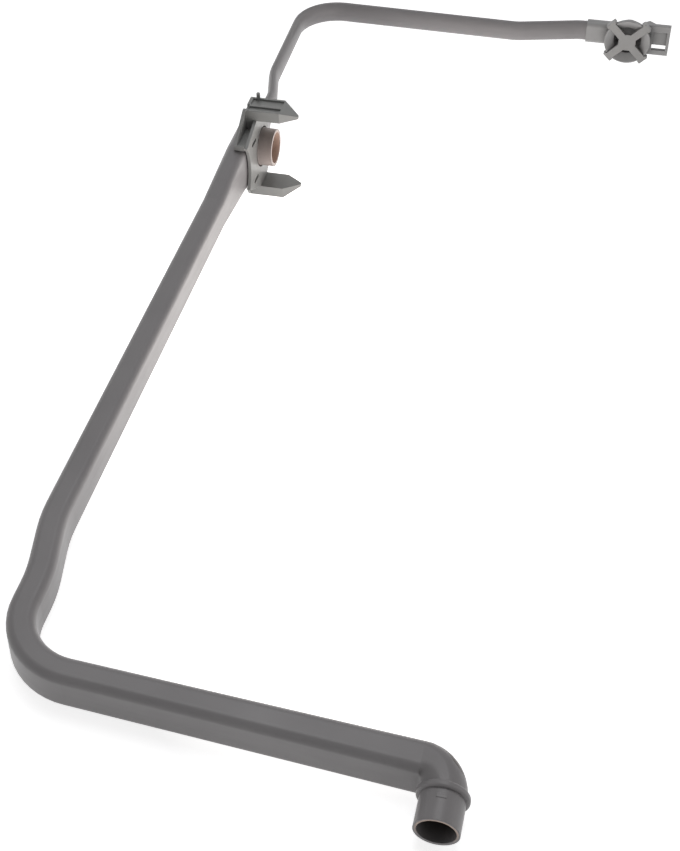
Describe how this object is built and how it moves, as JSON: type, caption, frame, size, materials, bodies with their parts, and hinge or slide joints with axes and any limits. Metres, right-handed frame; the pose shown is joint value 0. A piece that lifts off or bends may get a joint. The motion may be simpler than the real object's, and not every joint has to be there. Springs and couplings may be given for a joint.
{
  "type": "dishwasher wash arm riser tube",
  "caption": "Grey plastic water riser for a dishwasher tub: a lower run with an inlet spigot, a tall duct, a docking spigot between guide horns, and a flat ceiling run to a shower head.",
  "frame": {"origin": "middle of the inlet spigot's mouth", "axes": "+X forward over the lower run from the riser to the inlet, +Y up the riser as it stands in the tub, +Z across the tub, which is up as the tube lies on its side"},
  "size_m": [0.2701, 0.6493, 0.0674],
  "materials": {
    "tube": "satin grey blown polypropylene",
    "guide": "satin grey moulded polypropylene",
    "head": "satin grey moulded polypropylene",
    "cross": "satin grey moulded polypropylene"
  },
  "bodies": {
    "root": {"feed_tube": "tube", "dock_guide": "guide", "shower_head": "head", "spray_cross": "cross"}
  },
  "joints": []
}
